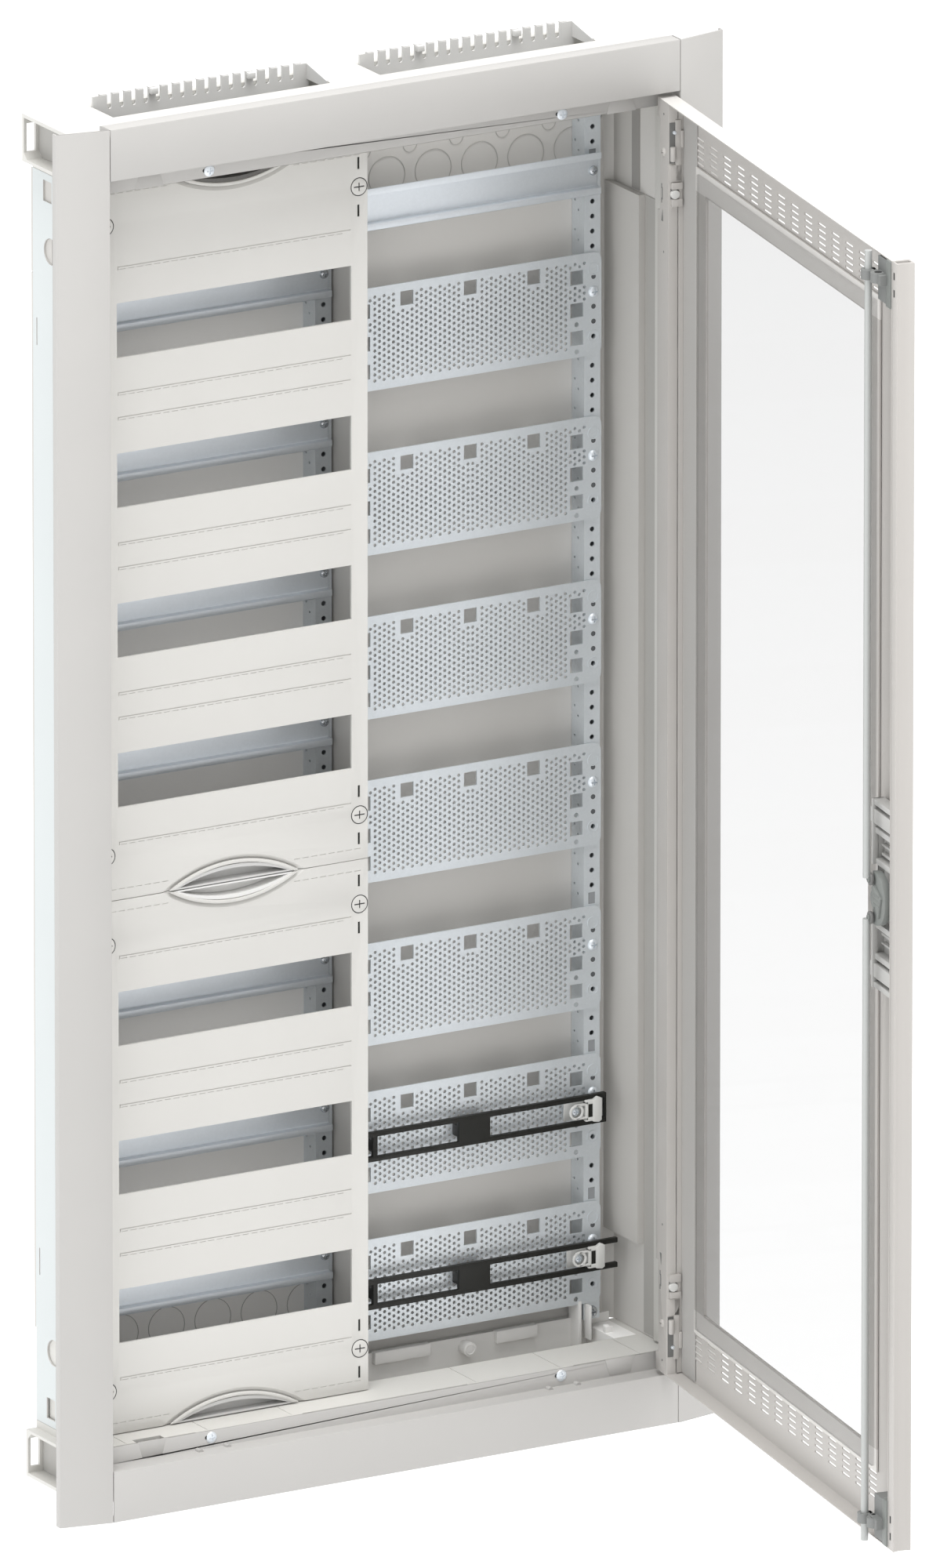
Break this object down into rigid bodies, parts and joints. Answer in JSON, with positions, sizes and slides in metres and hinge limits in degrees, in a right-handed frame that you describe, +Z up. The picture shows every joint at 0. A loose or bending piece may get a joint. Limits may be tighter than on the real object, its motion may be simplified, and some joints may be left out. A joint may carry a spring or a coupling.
{
  "type": "distribution board cabinet",
  "caption": "Flush-mounted switchboard cabinet with device covers and rails on the left, perforated mounting plates on the right and a glazed door standing open.",
  "frame": {"origin": "centre of the back panel's outer face, which lies against the wall of the recess", "axes": "+Z up, +Y into the wall out of the back panel, the front looks along -Y"},
  "size_m": [0.616, 0.6289, 1.164],
  "materials": {
    "powder_coat": "fine satin powder coat, warm light grey",
    "moulded_grey": "fine-grained moulded thermoplastic, warm light grey",
    "cover_plastic": "satin moulded plastic, light grey",
    "box_steel": "matt coated sheet steel",
    "zinc": "galvanised sheet steel, faint cloudy spangle",
    "black_plastic": "satin black plastic",
    "dark_plastic": "dark grey moulded plastic",
    "glass": "clear flat safety glass"
  },
  "bodies": {
    "cabinet": {"box_shell": "box_steel", "top_end_cap": "moulded_grey", "bottom_end_cap": "moulded_grey", "comb_left": "moulded_grey", "comb_right": "moulded_grey", "frame_top": "powder_coat", "frame_bottom": "powder_coat", "frame_left": "powder_coat", "frame_right": "powder_coat", "field_divider": "box_steel", "upright_1": "zinc", "upright_2": "zinc", "upright_3": "zinc", "upright_4": "zinc", "din_rail_1": "zinc", "din_rail_2": "zinc", "din_rail_3": "zinc", "din_rail_4": "zinc", "din_rail_5": "zinc", "din_rail_6": "zinc", "din_rail_7": "zinc", "din_rail_8": "zinc", "perforated_plate_1": "zinc", "perforated_plate_2": "zinc", "perforated_plate_3": "zinc", "perforated_plate_4": "zinc", "perforated_plate_5": "zinc", "perforated_plate_6": "zinc", "perforated_plate_7": "zinc", "cable_holder_upper": "black_plastic", "cable_holder_lower": "black_plastic", "frame_hinge_upper": "zinc", "frame_hinge_lower": "zinc"},
    "door": {"door_panel": "powder_coat", "window_frame": "powder_coat", "window_pane": "glass", "grip_strip": "powder_coat", "lock_housing": "moulded_grey", "rod_guide_upper": "dark_plastic", "rod_guide_lower": "dark_plastic", "hinge_bolt_upper": "zinc", "hinge_bolt_lower": "zinc"},
    "lock": {"lock_cam": "dark_plastic", "lock_lever": "dark_plastic"},
    "upper_rod": {"upper_rod": "zinc"},
    "lower_rod": {"lower_rod": "zinc"},
    "upper_cover": {"upper_cover": "cover_plastic", "upper_cover_grip_top": "cover_plastic", "upper_cover_grip_bottom": "cover_plastic"},
    "upper_cover_lock_1": {"upper_cover_lock_1": "cover_plastic"},
    "upper_cover_lock_2": {"upper_cover_lock_2": "cover_plastic"},
    "upper_cover_lock_3": {"upper_cover_lock_3": "cover_plastic"},
    "upper_cover_lock_4": {"upper_cover_lock_4": "cover_plastic"},
    "lower_cover": {"lower_cover": "cover_plastic", "lower_cover_grip_top": "cover_plastic", "lower_cover_grip_bottom": "cover_plastic"},
    "lower_cover_lock_1": {"lower_cover_lock_1": "cover_plastic"},
    "lower_cover_lock_2": {"lower_cover_lock_2": "cover_plastic"},
    "lower_cover_lock_3": {"lower_cover_lock_3": "cover_plastic"},
    "lower_cover_lock_4": {"lower_cover_lock_4": "cover_plastic"}
  },
  "joints": [
    {"name": "door_hinge", "type": "hinge", "parent": "cabinet", "child": "door", "pos_m": [0.257, -0.1169, 0], "axis": [0, 0, 1], "range_deg": [-80.93, 24]},
    {"name": "lock_turn", "type": "hinge", "parent": "door", "child": "lock", "pos_m": [0.17122, -0.58406, 0], "axis": [-0.9875, 0.1576, 0], "range_deg": [0, 90]},
    {"name": "upper_rod_slide", "type": "slide", "parent": "door", "child": "upper_rod", "axis": [0, 0, -1], "range_m": [0, 0.015]},
    {"name": "lower_rod_slide", "type": "slide", "parent": "door", "child": "lower_rod", "axis": [0, 0, 1], "range_m": [0, 0.0151]},
    {"name": "upper_cover_pull", "type": "slide", "parent": "cabinet", "child": "upper_cover", "axis": [0, -1, 0], "range_m": [0, 0.12]},
    {"name": "upper_cover_lock_1_turn", "type": "hinge", "parent": "upper_cover", "child": "upper_cover_lock_1", "pos_m": [-0.2418, -0.075, 0.487], "axis": [0, 1, 0], "range_deg": [0, 90]},
    {"name": "upper_cover_lock_2_turn", "type": "hinge", "parent": "upper_cover", "child": "upper_cover_lock_2", "pos_m": [-0.0082, -0.075, 0.487], "axis": [0, 1, 0], "range_deg": [0, 90]},
    {"name": "upper_cover_lock_3_turn", "type": "hinge", "parent": "upper_cover", "child": "upper_cover_lock_3", "pos_m": [-0.2418, -0.075, -0.038], "axis": [0, 1, 0], "range_deg": [0, 90]},
    {"name": "upper_cover_lock_4_turn", "type": "hinge", "parent": "upper_cover", "child": "upper_cover_lock_4", "pos_m": [-0.0082, -0.075, -0.038], "axis": [0, 1, 0], "range_deg": [0, 90]},
    {"name": "lower_cover_pull", "type": "slide", "parent": "cabinet", "child": "lower_cover", "axis": [0, -1, 0], "range_m": [0, 0.12]},
    {"name": "lower_cover_lock_1_turn", "type": "hinge", "parent": "lower_cover", "child": "lower_cover_lock_1", "pos_m": [-0.2418, -0.075, -0.113], "axis": [0, 1, 0], "range_deg": [0, 90]},
    {"name": "lower_cover_lock_2_turn", "type": "hinge", "parent": "lower_cover", "child": "lower_cover_lock_2", "pos_m": [-0.0082, -0.075, -0.113], "axis": [0, 1, 0], "range_deg": [0, 90]},
    {"name": "lower_cover_lock_3_turn", "type": "hinge", "parent": "lower_cover", "child": "lower_cover_lock_3", "pos_m": [-0.2418, -0.075, -0.488], "axis": [0, 1, 0], "range_deg": [0, 90]},
    {"name": "lower_cover_lock_4_turn", "type": "hinge", "parent": "lower_cover", "child": "lower_cover_lock_4", "pos_m": [-0.0082, -0.075, -0.488], "axis": [0, 1, 0], "range_deg": [0, 90]}
  ],
  "couplings": [
    {"joint": "lock_turn", "follows": "upper_rod_slide", "rad_per_m": 104.7},
    {"joint": "lower_rod_slide", "follows": "upper_rod_slide", "ratio": 1}
  ]
}
